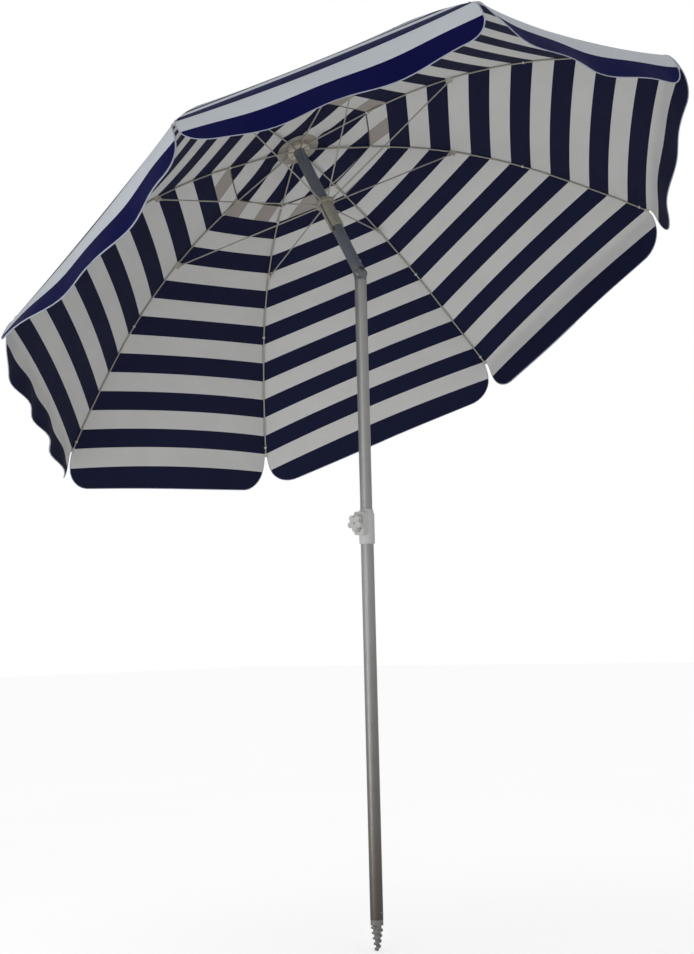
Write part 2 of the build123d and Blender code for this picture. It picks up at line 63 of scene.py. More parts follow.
scene = bpy.context.scene
scene.view_settings.view_transform = "Standard"
joints = {joint["name"]: joint for joint in frame["joints"]}
RIBS = sum(name.startswith("rib_fold_") for name in joints)
AXIS = -Vector(joints["runner_slide"]["axis"])
PIVOTS = [Vector(joints[f"rib_fold_{k + 1}"]["pos_m"]) for k in range(RIBS)]
CROWN = sum(PIVOTS, Vector()) / RIBS
SPOKES = [(pivot - CROWN).normalized() for pivot in PIVOTS]
PIVOT_RADIUS = (PIVOTS[0] - CROWN).length
LOW_SIDE = Vector(joints["tilt"]["axis"]).cross(AXIS)
ACROSS = AXIS.cross(LOW_SIDE)
DOWN = Vector((0, 0, -1))
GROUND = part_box("ground_auger")[0].z
print("canopy axis", tuple(round(x, 3) for x in AXIS), "crown", tuple(round(x, 3) for x in CROWN))

# %% [markdown]
# ## The rib's curve
# A sprung rib leaves the crown almost straight and then bends down more and more. A straight run and
# two tangent arcs describe it well, and one function gives the place on it for any length along it.
# The cloth lies on the ribs, so every row of the cloth asks this function where it is.

# %% The rib's line
RIB_STRAIGHT = 0.175
RIB_SLOPE = math.radians(7.57)
RIB_BENDS = ((1.150, 1.150 * math.radians(25.4)), (2.840, math.inf))  # radius and length of each
RIB_LENGTH = 0.987


def rib_point(s):
    """Radius, height and downward slope of the rib's centre line, s along it from its pivot."""
    run = min(s, RIB_STRAIGHT)
    slope = RIB_SLOPE
    r = PIVOT_RADIUS + run * math.cos(slope)
    h = -run * math.sin(slope)
    left = s - run
    for radius, length in RIB_BENDS:
        part = min(left, length)
        end = slope + part / radius
        r += radius * (math.sin(end) - math.sin(slope))
        h -= radius * (math.cos(slope) - math.cos(end))
        slope = end
        left -= part
    return r, h, slope


def on_rib(k, s, lift):
    """A point above rib k, s along it and lift out from its centre line."""
    r, h, slope = rib_point(s)
    out = SPOKES[k % RIBS] * (r + lift * math.sin(slope))
    return CROWN + out + AXIS * (h + lift * math.cos(slope))


# %% [markdown]
# ## The cut of the cloth
# Each panel's stripes run parallel to its outer edge. Fourteen stripes of one width fill the panel
# from the vent to the rim, and two more make the valance. The stripe width follows from the panel's
# own length down its middle, measured here along the curve, as a cutter measures the pattern.

# %% Sizes of the cloth
CLOTH_THICK = 0.0005
CLOTH_LIFT = 0.0036
VENT_AT = 0.186
CLOTH_END = RIB_LENGTH - 0.008
PANEL_STRIPES = 14
VALANCE_GAP = 0.005
CORNER_WIDTH = 0.0653
CORNER_HEIGHT = 0.062
RIM_BOW = 0.013
PANEL_SAG = 0.007
VENT_BOW = 0.002
RIM_SAG = 0.018  # how far the valance's weight pulls the middle of a level panel's rim down
RIM_ROLL = 0.11  # length of panel that rolls over above the rim
HALF_PANEL = math.pi / RIBS
ROWS = 56

row_at = [VENT_AT + (CLOTH_END - VENT_AT) * i / ROWS for i in range(ROWS + 1)]


def middle_step(s0, s1):
    """Length down a panel's middle between two rows."""
    (r0, h0, _), (r1, h1, _) = rib_point(s0), rib_point(s1)
    return math.hypot((r1 - r0) * math.cos(HALF_PANEL), h1 - h0)


down_panel = [0.0]
for s0, s1 in zip(row_at, row_at[1:]):
    down_panel.append(down_panel[-1] + middle_step(s0, s1))
STRIPE = down_panel[-1] / PANEL_STRIPES
VALANCE = 2 * STRIPE
RIM = 2 * rib_point(CLOTH_END)[0] * math.sin(HALF_PANEL)
print(f"stripe {STRIPE * 1000:.1f} mm, valance {VALANCE * 1000:.1f} mm, rim {RIM * 1000:.0f} mm")

# columns across half a panel: close together by the rib, where the valance's corner turns
near = [0, VALANCE_GAP, 0.008, 0.012, 0.017, 0.023, 0.030, 0.039, 0.050, 0.064, 0.082]
wide = np.linspace(0.104, RIM / 2, 12)
across = [x / RIM for x in [*near, *wide]]


def panel_point(k, w, s):
    """A point of the panel between ribs k and k + 1: w across it and s down it."""
    left, right = on_rib(k, s, CLOTH_LIFT), on_rib(k + 1, s, CLOTH_LIFT)
    step = 0.001
    ahead = (on_rib(k, s + step, CLOTH_LIFT) + on_rib(k + 1, s + step, CLOTH_LIFT)) / 2
    along = (ahead - (left + right) / 2).normalized()
    outward = along.cross((right - left).normalized())
    t = (s - VENT_AT) / (CLOTH_END - VENT_AT)
    arch = 4 * w * (1 - w)
    bow = RIM_BOW * t * t - VENT_BOW * (1 - t) ** 6
    roll = max(0.0, 1 - (CLOTH_END - s) / RIM_ROLL) ** 2
    level = max(0.0, outward.z) ** 2
    sag = PANEL_SAG * math.sin(math.pi * t) + RIM_SAG * level * roll
    return left.lerp(right, w) - along * bow * arch - outward * sag * arch


# %% [markdown]
# ## How the valance hangs
# Nothing holds the valance but its top edge. Each flap leaves the panel along the panel's own slope
# and turns down towards the plumb line over the first few centimetres. Coated cloth is stiff, so the
# flaps of the high side, where the canopy is nearly level, stand out from the plumb line, and their
# weight rolls the edge of the panel over. They wave, and the ones at the low side hang flat.

# %% The valance
FLAP_TURN = 0.035
FLAP_WAVES = [  # height of the waves at the free edge, how many, and where they start, by panel
    (0.008, 3.6, 0.2), (0.008, 2.7, 0.9), (0.008, 2.4, 0.12), (0.006, 2.4, 0.4),
    (0.006, 2.2, 0.3), (0.003, 1.6, 0.2), (0.002, 1.4, 0.7), (0.002, 1.3, 0.4),
]
FLAP_SHIFTS = (0, 0, 0, 0, 0, 0.17, 0.09, 0)  # how far each flap slides along its rim as it falls
FLAP_LEANS = [  # degrees out from the plumb line, at the start, middle and end of each flap
    (0, 0, 4), (42, 15, 9), (38, 31, 25), (44, 34, 34), (28, 23, 22), (3, 3, 3), (24, 24, 24), (15, 15, 15),
]


def flap_depth(w):
    """How far the flap reaches below the rim at w across it, with its rounded corners."""
    x = min(w, 1 - w) * RIM - VALANCE_GAP
    straight = VALANCE + 0.7 * RIM_BOW * 4 * w * (1 - w)
    if x >= CORNER_WIDTH:
        return straight
    rise = 1 - math.sqrt(max(0.0, 1 - ((CORNER_WIDTH - x) / CORNER_WIDTH) ** 2))
    return straight - CORNER_HEIGHT * rise


def flap_column(k, w, steps):
    """The points down one column of the flap of panel k, with how far down each lies."""
    left, right = on_rib(k, CLOTH_END, CLOTH_LIFT), on_rib(k + 1, CLOTH_END, CLOTH_LIFT)
    along_rim = (right - left).normalized()
    plumb = (DOWN - along_rim * DOWN.dot(along_rim)).normalized()
    start = panel_point(k, w, CLOTH_END)
    slope = (start - panel_point(k, w, CLOTH_END - 0.002)).normalized()
    away = along_rim.cross(plumb)
    if away.dot(start - CROWN) < 0:
        away = -away
    lean = math.radians(np.interp(w, (0, 0.5, 1), FLAP_LEANS[k % RIBS]))
    hang = plumb * math.cos(lean) + away * math.sin(lean) + along_rim * FLAP_SHIFTS[k % RIBS]
    outward = away * math.cos(lean) - plumb * math.sin(lean)
    height, count, phase = FLAP_WAVES[k % RIBS]
    depth = flap_depth(w)
    point, points, y = start.copy(), [], 0.0
    for i in range(1, steps + 1):
        step = depth / steps
        y += step
        turn = min(1.0, y / FLAP_TURN)
        turn = turn * turn * (3 - 2 * turn)
        point = point + slope.lerp(hang, turn).normalized() * step
        wave = height * (y / VALANCE) ** 1.3 * math.sin(2 * math.pi * (count * w + phase))
        points.append((point + outward * wave, y))
    return points


# %% [markdown]
# ## Cloth as a mesh
# A sheet is built as rows and columns of points, and each point carries its place on the flat
# pattern: how far across from the seam and how far down from the vent. The printed stripes and the
# weave read those numbers, so they follow the cloth wherever it goes. Solidify then gives the cloth
# its thickness, and the inner face gets a second material for the duller back of the print. The
# outer white has a painted blue cast of sky light, and the inner face has the vent cap's stripes
# painted on its first stripe as shade.

# %% A sheet from points
def grid_faces(rows, columns):
    """Quads over a grid of points that lie row by row."""
    return [
        (a, a + columns, a + columns + 1, a + 1)
        for i in range(rows - 1) for a in range(i * columns, (i + 1) * columns - 1)
    ]


def make_mesh(name, points, faces, layers, materials, thickness=CLOTH_THICK):
    """A sheet with its pattern coordinates and a thin wall."""
    mesh = bpy.data.meshes.new(name)
    mesh.from_pydata([tuple(p) for p in points], [], faces)
    for layer_name, values in layers.items():
        layer = mesh.uv_layers.new(name=layer_name)
        corner = np.zeros(len(mesh.loops), int)
        mesh.loops.foreach_get("vertex_index", corner)
        layer.data.foreach_set("uv", np.array(values, float)[corner].ravel())
    for material in materials:
        mesh.materials.append(material)
    mesh.shade_smooth()
    piece = bpy.data.objects.new(name, mesh)
    scene.collection.objects.link(piece)
    bpy.ops.object.select_all(action="DESELECT")
    piece.select_set(True)
    bpy.context.view_layer.objects.active = piece
    wall = piece.modifiers.new("wall", "SOLIDIFY")
    wall.thickness = thickness
    wall.offset = -1
    wall.material_offset = len(materials) - 1
    bpy.ops.object.modifier_apply(modifier=wall.name)
    bpy.ops.object.shade_smooth_by_angle(angle=math.radians(50))
    return piece


# %% [markdown]
# ## Materials
# The cloth is a coated polyester with the stripes printed on its outside. Three things make it read
# as cloth: the crossed threads, which are two fine waves on the pattern coordinates, slow changes of
# tone from handling, and soft creases that only the bump carries.

# %% Node helpers
def new_material(name):
    material = bpy.data.materials.new(name)
    material.use_nodes = True
    return material, material.node_tree, material.node_tree.nodes["Principled BSDF"]


def node(tree, kind, **settings):
    """A node with its settings and its unlinked input values, given by name or number."""
    made = tree.nodes.new(kind)
    for key, value in settings.pop("inputs", {}).items():
        made.inputs[key].default_value = value
    for key, value in settings.items():
        setattr(made, key, value)
    return made


def maths(tree, operation, a, b=None):
    made = node(tree, "ShaderNodeMath", operation=operation)
    for socket, value in zip(made.inputs, (a, b)):
        if isinstance(value, bpy.types.NodeSocket):
            tree.links.new(value, socket)
        elif value is not None:
            socket.default_value = value
    return made.outputs[0]


def scaled(tree, value, factor, offset):
    """value * factor + offset"""
    made = maths(tree, "MULTIPLY_ADD", value, factor)
    made.node.inputs[2].default_value = offset
    return made


def blend_colours(tree, factor, a, b, blend_type="MIX"):
    made = node(tree, "ShaderNodeMix", data_type="RGBA", blend_type=blend_type)
    for socket, value in ((made.inputs[0], factor), (made.inputs[6], a), (made.inputs[7], b)):
        if isinstance(value, bpy.types.NodeSocket):
            tree.links.new(value, socket)
        else:
            socket.default_value = value
    return made.outputs[2]


def shaded(tree, colour, shade):
    """The colour multiplied by one value."""
    grey = node(tree, "ShaderNodeCombineColor")
    for socket in grey.inputs:
        tree.links.new(shade, socket)
    return blend_colours(tree, 1.0, colour, grey.outputs[0], "MULTIPLY")


def noise(tree, vector, scale, detail=3.0, rough=0.5):
    made = node(tree, "ShaderNodeTexNoise", inputs={"Scale": scale, "Detail": detail, "Roughness": rough})
    tree.links.new(vector, made.inputs["Vector"])
    return made.outputs["Fac"]


def bump(tree, height, distance, strength=1.0, normal=None):
    made = node(tree, "ShaderNodeBump", inputs={"Strength": strength, "Distance": distance})
    tree.links.new(height, made.inputs["Height"])
    if normal is not None:
        tree.links.new(normal, made.inputs["Normal"])
    return made.outputs["Normal"]


def object_place(tree):
    return node(tree, "ShaderNodeTexCoord").outputs["Object"]


# %% The printed cloth
THREAD = 0.0006
STITCH = 0.0032
SEAM_INSET = 0.004
STITCH_HALF_WIDTH = 0.0005
# Painted light: the outside white is tinted blue, as sky light would tint it.
WHITE_WITH_PAINTED_SKY_BLUE = (0.595, 0.633, 0.680, 1)
NAVY = (0.0012, 0.0024, 0.060, 1)
WHITE_BACK = (0.70, 0.70, 0.69, 1)
NAVY_BACK = (0.0115, 0.0135, 0.044, 1)
# Painted shade: the vent cap's dark stripes, which light through the cloth would show, are painted as a darker
# brown on the inside of the panels' first stripe.
PAINTED_CAP_SHADOW = (0.31, 0.26, 0.225, 1)
PAINTED_CAP_SHADOW_STRENGTH = 0.75  # how much of the cap's dark stripes is seen through the panels' first stripe


def stripe_mask(tree, down, width):
    """1 on the dark stripes: the second of every two, and the last one as far as the cloth goes."""
    pair = maths(tree, "MODULO", maths(tree, "ADD", down, 40 * width), 2 * width)
    last = maths(tree, "GREATER_THAN", down, (PANEL_STRIPES + 1) * width)
    return maths(tree, "MAXIMUM", maths(tree, "GREATER_THAN", pair, width), last)


def wave_of(tree, value, length):
    """A sine wave of the given length along value."""
    return maths(tree, "SINE", maths(tree, "MULTIPLY", value, 2 * math.pi / length))


def cloth_surface(tree, shader, colour, u, v, seam):
    """Threads, creases, a stitched seam and an uneven tone on any cloth."""
    place = object_place(tree)
    tone = scaled(tree, noise(tree, place, 7.0), 0.14, 0.93)
    warp, weft = (wave_of(tree, along, THREAD) for along in (u, v))
    weave = maths(tree, "MULTIPLY", warp, weft)
    shade = maths(tree, "MULTIPLY", tone, scaled(tree, weave, 0.035, 1.0))
    off_seam = maths(tree, "ABSOLUTE", maths(tree, "SUBTRACT", seam, SEAM_INSET))
    near_seam = maths(tree, "LESS_THAN", off_seam, STITCH_HALF_WIDTH)
    dash = maths(tree, "GREATER_THAN", wave_of(tree, v, STITCH), -0.3)
    stitches = maths(tree, "MULTIPLY", near_seam, dash)
    shade = maths(tree, "SUBTRACT", shade, maths(tree, "MULTIPLY", stitches, 0.12))
    tree.links.new(shaded(tree, colour, shade), shader.inputs["Base Color"])
    small_creases = maths(tree, "MULTIPLY", noise(tree, place, 34.0, 2.0), 0.25)
    creases = maths(tree, "ADD", noise(tree, place, 9.0, 4.0), small_creases)
    soft = bump(tree, creases, 0.010, 0.35)
    threads = maths(tree, "ADD", weave, maths(tree, "MULTIPLY", stitches, 3.0))
    fine = bump(tree, threads, 0.00008, 0.6, soft)
    tree.links.new(fine, shader.inputs["Normal"])
    tree.links.new(scaled(tree, noise(tree, place, 21.0), 0.12, 0.66), shader.inputs["Roughness"])
    shader.inputs["Sheen Weight"].default_value = 0.03
    shader.inputs["Sheen Roughness"].default_value = 0.4
    shader.inputs["Specular IOR Level"].default_value = 0.08


def striped_cloth(name, light, dark, layer="pattern", paint_cap_shadow=False):
    material, tree, shader = new_material(name)
    pattern = node(tree, "ShaderNodeSeparateXYZ")
    tree.links.new(node(tree, "ShaderNodeUVMap", uv_map=layer).outputs[0], pattern.inputs[0])
    u, v = pattern.outputs["X"], pattern.outputs["Y"]
    mask = stripe_mask(tree, v, STRIPE)
    ground = light
    # painted shade of the cap's dark stripes on the first stripe of the inside
    if paint_cap_shadow:
        cap = node(tree, "ShaderNodeSeparateXYZ")
        tree.links.new(node(tree, "ShaderNodeUVMap", uv_map="cap").outputs[0], cap.inputs[0])
        cap_shadow_stripes = stripe_mask(tree, cap.outputs["Y"], STRIPE)
        ring = maths(tree, "LESS_THAN", v, STRIPE)
        cap_shadow_amount = maths(tree, "MULTIPLY", maths(tree, "MULTIPLY", cap_shadow_stripes, ring), PAINTED_CAP_SHADOW_STRENGTH)
        ground = blend_colours(tree, cap_shadow_amount, light, PAINTED_CAP_SHADOW)
    colour = blend_colours(tree, mask, ground, dark)
    cloth_surface(tree, shader, colour, u, v, u)
    return material


outside_print = striped_cloth("printed_cloth_outside", WHITE_WITH_PAINTED_SKY_BLUE, NAVY)
inside_print = striped_cloth("printed_cloth_inside", WHITE_BACK, NAVY_BACK, paint_cap_shadow=True)
cap_outside = striped_cloth("cap_cloth_outside", WHITE_WITH_PAINTED_SKY_BLUE, NAVY, layer="cap")
cap_inside = striped_cloth("cap_cloth_inside", WHITE_BACK, NAVY_BACK, layer="cap")


# %% Plain tape, metal and plastic
def woven_tape(name, colour, rib_size=0.0011):
    material, tree, shader = new_material(name)
    place = object_place(tree)
    wave = node(tree, "ShaderNodeTexWave", wave_type="BANDS", bands_direction="DIAGONAL",
                inputs={"Scale": 1 / rib_size / 6, "Distortion": 1.5, "Detail": 2.0})
    tree.links.new(place, wave.inputs["Vector"])
    tone = blend_colours(tree, noise(tree, place, 60.0), [c * 0.86 for c in colour[:3]] + [1], colour)
    tree.links.new(tone, shader.inputs["Base Color"])
    tree.links.new(bump(tree, wave.outputs["Fac"], 0.0002, 0.5), shader.inputs["Normal"])
    shader.inputs["Roughness"].default_value = 0.8
    shader.inputs["Sheen Weight"].default_value = 0.2
    return material


def coated(name, colour, rough, metallic=0.0, grain=900.0, grain_depth=0.00004, worn=0.10, coat=0.0):
    """Powder coat, plate or moulded plastic: a colour with a fine grain, slow stains and dull patches."""
    material, tree, shader = new_material(name)
    place = object_place(tree)
    stains = noise(tree, place, 14.0, 5.0, 0.6)
    darker = [c * (1 - worn) for c in colour[:3]] + [1]
    lighter = [min(1.0, c * (1 + worn)) for c in colour[:3]] + [1]
    tree.links.new(blend_colours(tree, stains, darker, lighter), shader.inputs["Base Color"])
    dull = scaled(tree, noise(tree, place, 45.0, 4.0), 0.18, rough - 0.09)
    tree.links.new(dull, shader.inputs["Roughness"])
    tree.links.new(bump(tree, noise(tree, place, grain, 2.0), grain_depth, 0.6), shader.inputs["Normal"])
    shader.inputs["Metallic"].default_value = metallic
    shader.inputs["Coat Weight"].default_value = coat
    shader.inputs["Coat Roughness"].default_value = 0.25
    return material


PAINTED_GROUND_REFLECTION = (0.11, 0.088, 0.075, 1)
SKIN_OF_POLE = (0.37, 0.37, 0.365, 1)
SKIN_ABOVE_KNUCKLE = (0.225, 0.255, 0.295, 1)


def satin_tube(name):
    """Drawn tube with a clear coat: fine lines along it, and a browner, duller colour near the ground that is a
    painted reflection of the ground.
    """
    material, tree, shader = new_material(name)
    place = object_place(tree)
    split = node(tree, "ShaderNodeSeparateXYZ")
    tree.links.new(place, split.inputs[0])
    # painted reflection: darker and browner towards the ground, where the metal would mirror it
    height = node(tree, "ShaderNodeMapRange", inputs={"From Min": 0.0, "From Max": 0.75})
    tree.links.new(split.outputs["Z"], height.inputs["Value"])
    pole_tone_with_painted_reflection = blend_colours(tree, height.outputs[0], PAINTED_GROUND_REFLECTION, SKIN_OF_POLE)
    cool = node(tree, "ShaderNodeMapRange", inputs={"From Min": 1.55, "From Max": 1.62})
    tree.links.new(split.outputs["Z"], cool.inputs["Value"])
    pole_tone_with_painted_reflection = blend_colours(tree, cool.outputs[0], pole_tone_with_painted_reflection, SKIN_ABOVE_KNUCKLE)
    stains = scaled(tree, noise(tree, place, 16.0, 5.0), 0.22, 0.89)
    tree.links.new(shaded(tree, pole_tone_with_painted_reflection, stains), shader.inputs["Base Color"])
    stretch = node(tree, "ShaderNodeMapping", inputs={"Scale": (900.0, 900.0, 12.0)})
    tree.links.new(place, stretch.inputs["Vector"])
    lines = noise(tree, stretch.outputs[0], 1.0, 2.0)
    tree.links.new(bump(tree, lines, 0.00002, 0.5), shader.inputs["Normal"])
    tree.links.new(scaled(tree, noise(tree, place, 40.0, 3.0), 0.14, 0.33), shader.inputs["Roughness"])
    shader.inputs["Metallic"].default_value = 0.6
    shader.inputs["Coat Weight"].default_value = 0.2
    shader.inputs["Coat Roughness"].default_value = 0.2
    return material


binding_tape = woven_tape("valance_binding_tape", (0.42, 0.46, 0.57, 1))
vent_tape = woven_tape("vent_hem_tape", (0.055, 0.045, 0.045, 1))
tie_thread = woven_tape("tie_thread", (0.80, 0.79, 0.74, 1), 0.0005)
felt_patch = woven_tape("crown_patch_felt", (0.42, 0.39, 0.33, 1), 0.0016)
finishes = {
    "pole": satin_tube("satin_silver_pole"),
    "grey_plastic": coated("moulded_grey_auger", (0.22, 0.21, 0.205, 1), 0.42, grain=500.0, coat=0.15),
    "clamp_plastic": coated("moulded_light_grey", (0.60, 0.60, 0.59, 1), 0.48, grain=650.0),
    "knuckle_plastic": coated("moulded_knuckle_grey", (0.20, 0.21, 0.225, 1), 0.5, grain=650.0),
    "knuckle_metal": coated("satin_knuckle_metal", (0.25, 0.26, 0.275, 1), 0.36, 0.5, 1200.0, 0.00002),
    "ivory_plastic": coated("moulded_ivory", (0.62, 0.57, 0.49, 1), 0.45, grain=600.0),
    "steel": coated("zinc_plated_steel", (0.52, 0.52, 0.50, 1), 0.33, 0.9, 1500.0, 0.00002, 0.12),
    "rib_wire": coated("off_white_rib_coat", (0.40, 0.385, 0.34, 1), 0.42, 0.15, 1200.0, 0.00002, 0.08),
    "patch": felt_patch,
    "binding": binding_tape,
}

# %% [markdown]
# ## Dressing the CAD parts
# The record says which finish each node has, so one loop gives every tube, screw and rib its
# material. The cloth nodes are left out: sheets of real cloth stand for them below.

# %% Materials on the CAD nodes
def two_tone_runner(name):
    """The runner's flange is a warm, slightly clear plastic, and its long sleeve is a cool grey one."""
    material, tree, shader = new_material(name)
    place = object_place(tree)
    flange = Vector(joints["stretcher_fold_1"]["pos_m"]).dot(AXIS)
    down = node(tree, "ShaderNodeVectorMath", operation="DOT_PRODUCT")
    down.inputs[1].default_value = AXIS
    tree.links.new(place, down.inputs[0])
    upper = node(tree, "ShaderNodeMapRange", inputs={"From Min": flange - 0.022, "From Max": flange - 0.008})
    tree.links.new(down.outputs["Value"], upper.inputs["Value"])
    rim = node(tree, "ShaderNodeMapRange", inputs={"From Min": flange - 0.072, "From Max": flange - 0.068})
    tree.links.new(down.outputs["Value"], rim.inputs["Value"])
    sleeve = blend_colours(tree, rim.outputs[0], (0.44, 0.42, 0.34, 1), (0.30, 0.31, 0.34, 1))
    tone = blend_colours(tree, upper.outputs[0], sleeve, (0.46, 0.385, 0.33, 1))
    stains = maths(tree, "MULTIPLY", noise(tree, place, 55.0, 4.0), 0.35)
    stained = blend_colours(tree, stains, tone, (0.22, 0.20, 0.18, 1))
    tree.links.new(stained, shader.inputs["Base Color"])
    tree.links.new(bump(tree, noise(tree, place, 700.0, 2.0), 0.00004, 0.6), shader.inputs["Normal"])
    tree.links.new(scaled(tree, noise(tree, place, 45.0), 0.15, 0.36), shader.inputs["Roughness"])
    shader.inputs["Subsurface Weight"].default_value = 0.15
    shader.inputs["Subsurface Scale"].default_value = 0.003
    return material


runner_plastic = two_tone_runner("moulded_two_tone_runner")
catch_plastic = coated("moulded_brown_catch", (0.16, 0.085, 0.055, 1), 0.45, grain=700.0)
own_finishes = {"runner": runner_plastic, "runner_catch": catch_plastic}
for entry in frame["record"]["subparts"]:
    if entry["material_slot"] in finishes:
        mesh = frame["nodes"][entry["node"]].data
        mesh.materials.clear()
        mesh.materials.append(own_finishes.get(entry["node"], finishes[entry["material_slot"]]))

# %% [markdown]
# ## The panels
# One rib carries half of the panel on each side of it, so that is one piece: it turns with the rib
# when the umbrella folds, and meets its neighbours down the middle of the panels. A real umbrella's
# cloth slackens as the ribs fall; these pieces keep their shape and only get their own meshes.

# %% Cloth on each rib
FLAP_ROWS = 16


def fold_with_rib(piece):
    """Gives a piece of cloth its own copy of its mesh."""
    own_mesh(piece)


def columns_of(k):
    """The columns of the cloth on rib k: the panel each lies in, and how far across that it is."""
    before = [(k - 1, 1 - w) for w in reversed(across[1:])]
    return before + [(k, 0.0)] + [(k, w) for w in across[1:]]


def seam_distance(w, s):
    """Distance from the nearer rib at w across a panel and s down it."""
    return min(w, 1 - w) * 2 * rib_point(s)[0] * math.sin(HALF_PANEL)


def cap_coordinates(point):
    """Place on the cap's own pattern: its stripes run with the tilt, with a light one at the crown."""
    flat = point - CROWN
    return flat.dot(LOW_SIDE), flat.dot(ACROSS) + STRIPE / 2


def make_canopy(k):
    """The cloth on rib k with its two half flaps, the lines of its bound edges and its vent edge."""
    columns = columns_of(k)
    points, pattern, cap = [], [], []
    for s, v in zip(row_at, down_panel):
        for panel, w in columns:
            point = panel_point(panel, w, s)
            points.append(point)
            pattern.append((seam_distance(w, s), v))
            cap.append(cap_coordinates(point))
    wide = len(columns)
    faces = grid_faces(ROWS + 1, wide)
    rim = ROWS * wide
    hems = []
    for side in (range(0, wide // 2), range(wide // 2 + 1, wide)):
        above = {j: rim + j for j in side}
        strips = {j: flap_column(*columns[j], FLAP_ROWS) for j in side}
        for i in range(FLAP_ROWS):
            now = {}
            for j in side:
                point, y = strips[j][i]
                now[j] = len(points)
                points.append(point)
                pattern.append((seam_distance(columns[j][1], CLOTH_END), down_panel[-1] + y))
                cap.append(cap_coordinates(point))
            for j in side[:-1]:
                faces.append((above[j], now[j], now[j + 1], above[j + 1]))
            above = now
        edge = [strips[j][-1][0] for j in side]
        corner = side[-1] if side[0] == 0 else side[0]
        end = [point for point, _ in strips[corner]]
        start = points[rim + corner]
        hems.append(edge + end[-2::-1] + [start] if side[0] == 0 else [start] + end[:-1] + edge)
    layers = {"pattern": pattern, "cap": cap}
    piece = make_mesh(f"canopy_cloth_{k + 1}", points, faces, layers, [outside_print, inside_print])
    return piece, hems, [points[j] for j in range(wide)]


def tube(name, lines, radius, material, sides=8, flatten=1.0):
    """A bound edge or a wire along lines of points, closed at its ends."""
    mesh = bmesh.new()
    for line in lines:
        line = [p for i, p in enumerate(line) if i == 0 or (p - line[i - 1]).length > 1e-5]
        rings = []
        side_way = None
        for i, point in enumerate(line):
            along = (line[min(i + 1, len(line) - 1)] - line[max(i - 1, 0)]).normalized()
            if side_way is None:
                side_way = along.orthogonal().normalized()
            side_way = (side_way - along * side_way.dot(along)).normalized()
            other = along.cross(side_way)
            ring = []
            for n in range(sides):
                turn = 2 * math.pi * n / sides
                offset = side_way * math.cos(turn) + other * math.sin(turn) * flatten
                ring.append(mesh.verts.new(point + offset * radius))
            rings.append(ring)
        for low, high in zip(rings, rings[1:]):
            for n in range(sides):
                m = (n + 1) % sides
                mesh.faces.new((low[n], low[m], high[m], high[n]))
        mesh.faces.new(list(reversed(rings[0])))
        mesh.faces.new(rings[-1])
    data = bpy.data.meshes.new(name)
    mesh.to_mesh(data)
    mesh.free()
    data.materials.append(material)
    data.shade_smooth()
    piece = bpy.data.objects.new(name, data)
    scene.collection.objects.link(piece)
    return piece


BINDING_RADIUS = 0.00169
VENT_HEM_RADIUS = 0.0016
TIE_RADIUS = 0.0009
TIE_TURNS = 3
TIE_POINTS = 12
TIE_HEIGHT, TIE_WIDTH, TIE_PITCH = 0.0036, 0.0030, 0.0014
TIE_PLACES = (VENT_AT + 0.004, VENT_AT + STRIPE * 1.05, 0.62, CLOTH_END - 0.02)


def tie_loops(k):
    """Thread ties that hold the cloth to rib k, as small wound loops."""
    loops = []
    for s in TIE_PLACES:
        centre = on_rib(k, s, 0.001)
        slope = rib_point(s)[2]
        up = SPOKES[k] * math.sin(slope) + AXIS * math.cos(slope)
        sideways = AXIS.cross(SPOKES[k])
        along = up.cross(sideways)
        for turn in range(TIE_TURNS):
            loop = []
            for n in range(TIE_POINTS + 1):
                angle = 2 * math.pi * n / TIE_POINTS
                offset = up * math.cos(angle) * TIE_HEIGHT + sideways * math.sin(angle) * TIE_WIDTH
                loop.append(centre + offset + along * (turn * TIE_PITCH + n * 0.0001))
            loops.append(loop)
    return loops


flat_area = 0.0
for s0, s1 in zip(row_at, row_at[1:]):
    mean_width = (rib_point(s0)[0] + rib_point(s1)[0]) * math.sin(HALF_PANEL)
    flat_area += mean_width * middle_step(s0, s1)
flat_area += RIM * VALANCE - 2 * (1 - math.pi / 4) * CORNER_WIDTH * CORNER_HEIGHT - 2 * VALANCE_GAP * VALANCE

canopy = []
for k in range(RIBS):
    body = f"rib_{k + 1}"
    cloth, hems, vent_edge = make_canopy(k)
    binding = tube(f"valance_binding_{k + 1}", hems, BINDING_RADIUS, binding_tape, flatten=0.6)
    vent_hem = tube(f"vent_hem_{k + 1}", [vent_edge], VENT_HEM_RADIUS, vent_tape)
    ties = tube(f"rib_ties_{k + 1}", tie_loops(k), TIE_RADIUS, tie_thread, sides=6)
    for piece in (cloth, binding, vent_hem, ties):
        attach(piece, body)
    for piece in (cloth, binding, vent_hem):
        fold_with_rib(piece)
    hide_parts(f"canopy_sector_{k + 1}")
    canopy.append(cloth)
print(f"{len(canopy)} canopy pieces, {flat_area:.3f} m2 of cloth each")

# %% [markdown]
# ## The closing strap
# A short tape on the outside of one flap ties the folded canopy. It hangs from the rim on a line of
# stitches, follows the flap and curls away from it a little at its end.

# %% Strap
STRAP_WIDTH, STRAP_LENGTH, STRAP_PLACE = 0.016, 0.060, 0.535
STRAP_TOP = 0.012
STRAP_STEPS = 12
STRAP_LIFT, STRAP_CURL = 0.0022, 0.006
FINE_STEPS = 40  # rows of the flap that the strap looks for its place in


def strap_rows():
    """Points on the outside of the first flap, the nearest ones to each depth of the strap."""
    away = (SPOKES[0] + SPOKES[1] - AXIS * 0.3).normalized()
    rows = []
    for step in range(STRAP_STEPS + 1):
        y = STRAP_TOP + STRAP_LENGTH * step / STRAP_STEPS
        curl = STRAP_LIFT + STRAP_CURL * (step / STRAP_STEPS) ** 3
        row = []
        for side in (-0.5, -0.17, 0.17, 0.5):
            column = flap_column(0, STRAP_PLACE + side * STRAP_WIDTH / RIM, FINE_STEPS)
            point = min(column, key=lambda entry: abs(entry[1] - y))[0]
            row.append(point + away * curl)
        rows.append(row)
    return rows


